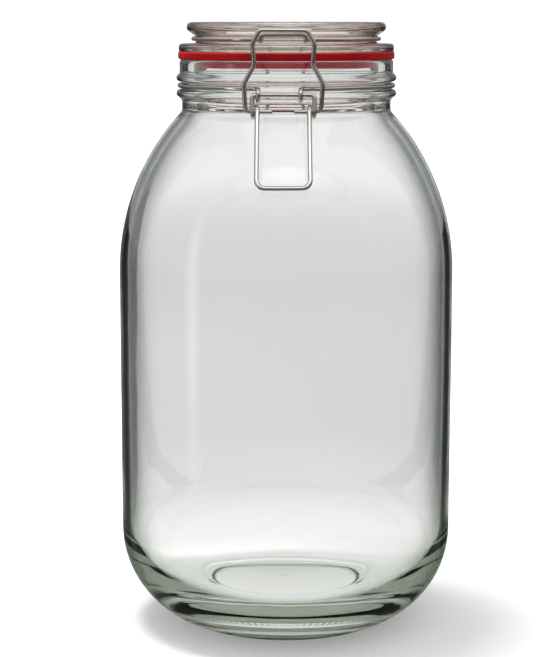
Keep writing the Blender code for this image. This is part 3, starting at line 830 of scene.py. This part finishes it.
class CANISTER_OT_bands(bpy.types.Operator):
    """Makes the neck band with its hinge bow and the lid band with its catch"""
    bl_idname = "canister.bands"
    bl_label = "Wire Bands"

    def execute(self, context):
        made = context.scene.canister
        steel = shared("steel_wire", lambda: steel_material(made.finish))
        wires = made.wires
        neck = wire("wire_round_neck", neck_band_path(wires), wires.wire, wires.waver, 0.5)
        finish_piece(neck, steel, "jar", "neck_band")
        lid = wire("wire_round_lid", lid_band_path(wires), wires.wire, wires.waver, 2.5)
        return finish_piece(lid, steel, "lid", "lid_band")


class CANISTER_OT_clasp(bpy.types.Operator):
    """Makes the clasp's link and lever"""
    bl_idname = "canister.clasp"
    bl_label = "Wire Clasp"

    def execute(self, context):
        made = context.scene.canister
        steel = shared("steel_wire", lambda: steel_material(made.finish))
        wires = made.wires
        link = wire("wire_link", link_path(wires), wires.wire, wires.waver, 4.0)
        finish_piece(link, steel, "link", "clasp_link")
        lever = wire("wire_lever", lever_path(wires), wires.wire, wires.waver, 6.0)
        return finish_piece(lever, steel, "lever", "clasp_lever")


def card(name, corners, shade=CARD_SHADE):
    """A flat card through four corners that only gloss and glass show."""
    mesh = bpy.data.meshes.new(name)
    mesh.from_pydata([tuple(corner) for corner in corners], [], [(0, 1, 2, 3)])
    mesh.update()
    board = bpy.data.objects.new(name, mesh)
    bpy.context.scene.collection.objects.link(board)
    material, tree, shader, where = new_material(name)
    shader.inputs["Base Color"].default_value = (*shade, 1)
    shader.inputs["Roughness"].default_value = 1.0
    shader.inputs["Specular IOR Level"].default_value = 0.0
    shader.inputs["Emission Color"].default_value = (1, 1, 1, 1)
    mesh.materials.append(material)
    board.visible_camera = False
    board.visible_diffuse = False
    board.visible_shadow = False
    return board


def fade_out(board, power):
    """Makes a card's glow die away towards its sides and ends, so that its mirror image is soft."""
    tree = board.data.materials[0].node_tree
    split = tree.nodes.new("ShaderNodeSeparateXYZ")
    tree.links.new(tree.nodes["Texture Coordinate"].outputs["Generated"], split.inputs["Vector"])
    dark, full = (0.0,) * 3, (1.0,) * 3
    across = ramp(tree, split.outputs["X"], [(0.0, dark), (0.5, full), (1.0, dark)])
    up = ramp(tree, split.outputs["Z"], [(0.0, dark), (0.3, full), (0.7, full), (1.0, dark)])
    strength = maths(tree, "MULTIPLY", maths(tree, "MULTIPLY", across, up), power)
    tree.links.new(strength, tree.nodes["Principled BSDF"].inputs["Emission Strength"])


def upright_card(name, azimuth_deg, distance, width, low, high, power):
    """A glowing card standing round the jar, facing it. Azimuth 0 is the front, 90 is +X."""
    azimuth = np.radians(azimuth_deg)
    outward = np.array([np.sin(azimuth), -np.cos(azimuth), 0.0])
    across = np.array([np.cos(azimuth), np.sin(azimuth), 0.0]) * width / 2
    middle = outward * distance
    low, high = np.array([0, 0, low]), np.array([0, 0, high])
    corners = (middle - across + low, middle + across + low, middle + across + high, middle - across + high)
    board = card(name, corners)
    fade_out(board, power)
    board.visible_transmission = False
    return board


def light(name, spot, target, size, power):
    """A soft rectangular lamp at a spot, turned to its target."""
    data = bpy.data.lights.new(name, "AREA")
    data.shape = "RECTANGLE"
    data.size, data.size_y = size
    data.energy = power
    lamp = bpy.data.objects.new(name, data)
    lamp.location = spot
    lamp.rotation_euler = (Vector(target) - Vector(spot)).to_track_quat("-Z", "Y").to_euler()
    bpy.context.scene.collection.objects.link(lamp)
    return lamp


def by_ray(tree, seen, through, other):
    """One value for what the camera sees, one for what shows through glass, one for the rest."""
    rays = tree.nodes.new("ShaderNodeLightPath")
    camera, glass = rays.outputs["Is Camera Ray"], rays.outputs["Is Transmission Ray"]
    neither = maths(tree, "SUBTRACT", maths(tree, "SUBTRACT", 1.0, camera), glass)
    total = maths(tree, "MULTIPLY", camera, seen)
    total = maths(tree, "ADD", total, maths(tree, "MULTIPLY", glass, through))
    return maths(tree, "ADD", total, maths(tree, "MULTIPLY", neither, other))


def studio_world():
    """A white backdrop. The room that gloss and shade come from is dim low down, bright higher up."""
    world = bpy.data.worlds.new("studio")
    world.use_nodes = True
    tree = world.node_tree
    where = tree.nodes.new("ShaderNodeTexCoord")
    split = tree.nodes.new("ShaderNodeSeparateXYZ")
    tree.links.new(where.outputs["Generated"], split.inputs["Vector"])
    room = ramp(tree, split.outputs["Z"], ROOM)
    background = tree.nodes["Background"]
    background.inputs["Color"].default_value = (1, 1, 1, 1)
    tree.links.new(by_ray(tree, *BACKDROP, room), background.inputs["Strength"])
    bpy.context.scene.world = world


def studio_floor(finish):
    """A pale floor. It comes out white with a soft shadow. Through glass it shows painted light right under
    the jar and painted shade, a little greyer, near the jar than far off; to gloss it is painted dark and
    gives little to mirror."""
    half = FLOOR_HALF
    corners = [(-half, -half, 0), (half, -half, 0), (half, half, 0), (-half, half, 0)]
    floor = card("floor", corners, finish.floor)
    floor.location.z = -FLOOR_DROP
    floor.visible_camera = floor.visible_diffuse = floor.visible_shadow = True
    tree = floor.data.materials[0].node_tree
    shader = tree.nodes["Principled BSDF"]
    where = tree.nodes.new("ShaderNodeTexCoord")
    away = tree.nodes.new("ShaderNodeVectorMath")
    away.operation = "LENGTH"
    tree.links.new(where.outputs["Object"], away.inputs[0])
    share = maths(tree, "DIVIDE", away.outputs["Value"], FLOOR_REACH)
    # Painted light and shade: through glass and to gloss the floor glows and darkens unlike what the camera
    # sees.
    glow = by_ray(tree, ramp(tree, share, FLOOR_GLOW), ramp(tree, share, FLOOR_GLOW_THROUGH), 0.0)
    tree.links.new(glow, shader.inputs["Emission Strength"])
    tree.links.new(by_ray(tree, finish.floor[0], *FLOOR_SHADES), shader.inputs["Base Color"])
    return floor


class CANISTER_OT_stage(bpy.types.Operator):
    """Makes the floor, the lights, the cards and the camera"""
    bl_idname = "canister.stage"
    bl_label = "Stage"

    def execute(self, context):
        made = context.scene.canister
        studio_world()
        studio_floor(made.finish)
        # Grey strips, unseen by the camera, fan out on the floor behind the jar: dark sheets of painted
        # shade that give the glass its dark edges.
        inner, outer = STRIP_NEAR
        for side, slope in STRIP_INNER_SLOPES.items():
            corners = [(side * inner, 0, 0), (side * outer, 0, 0),
                       (side * (outer + STRIP_FAR * STRIP_OUTER_SLOPE), STRIP_FAR, 0),
                       (side * (inner + STRIP_FAR * slope), STRIP_FAR, 0)]
            card("painted_shade_strip", corners, STRIP_SHADE)
        upright_card("left_glow", -57, 0.26, 0.050, 0.02, 0.30, LEFT_GLOW_POWER)
        key = light("key", KEY_PLACE, KEY_TARGET, KEY_SIZE, KEY_POWER)
        key.visible_glossy = False
        key.visible_transmission = False
        front = card("front_glow", [(-0.45, -0.33, 0.62), (0.45, -0.33, 0.62),
                                    (0.45, -0.43, 0.54), (-0.45, -0.43, 0.54)])
        front.visible_transmission = False
        fade_out(front, FRONT_GLOW_POWER)
        camera_data = bpy.data.cameras.new("camera")
        camera_data.sensor_width = SENSOR_WIDTH
        camera_data.lens = LENS
        camera = bpy.data.objects.new("camera", camera_data)
        camera.location = CAMERA_PLACE
        camera.rotation_euler = (Vector(CAMERA_AIM) - camera.location).to_track_quat("-Z", "Y").to_euler()
        context.scene.collection.objects.link(camera)
        context.scene.camera = camera
        context.scene.view_settings.view_transform = "Standard"
        context.scene.cycles.max_bounces = LIGHT_TURNS
        context.scene.cycles.glossy_bounces = GLOSS_TURNS
        context.scene.cycles.transmission_bounces = LIGHT_TURNS
        return {"FINISHED"}


OPERATORS = (CANISTER_OT_jar, CANISTER_OT_lid, CANISTER_OT_ring, CANISTER_OT_bands,
             CANISTER_OT_clasp, CANISTER_OT_stage)


class CANISTER_PT_panel(bpy.types.Panel):
    """Lists the canister's pieces and settings"""
    bl_idname = "CANISTER_PT_panel"
    bl_label = "Glass Canister"
    bl_space_type = "VIEW_3D"
    bl_region_type = "UI"
    bl_category = "Canister"

    def draw(self, context):
        layout = self.layout
        for operator in OPERATORS:
            layout.operator(operator.bl_idname)
        for group in ("jar", "lid", "wires", "finish"):
            box = layout.box()
            settings = getattr(context.scene.canister, group)
            for name in settings.__annotations__:
                box.prop(settings, name)


CLASSES = (JarSizes, LidSizes, WireSizes, Finishes, Canister, *OPERATORS, CANISTER_PT_panel)


def register():
    for cls in CLASSES:
        bpy.utils.register_class(cls)
    bpy.types.Scene.canister = bpy.props.PointerProperty(type=Canister)


def unregister():
    del bpy.types.Scene.canister
    for cls in reversed(CLASSES):
        bpy.utils.unregister_class(cls)


def main():
    register()
    bpy.ops.canister.jar()
    bpy.ops.canister.lid()
    bpy.ops.canister.ring()
    bpy.ops.canister.bands()
    bpy.ops.canister.clasp()
    bpy.ops.canister.stage()


if __name__ == "__main__":
    main()
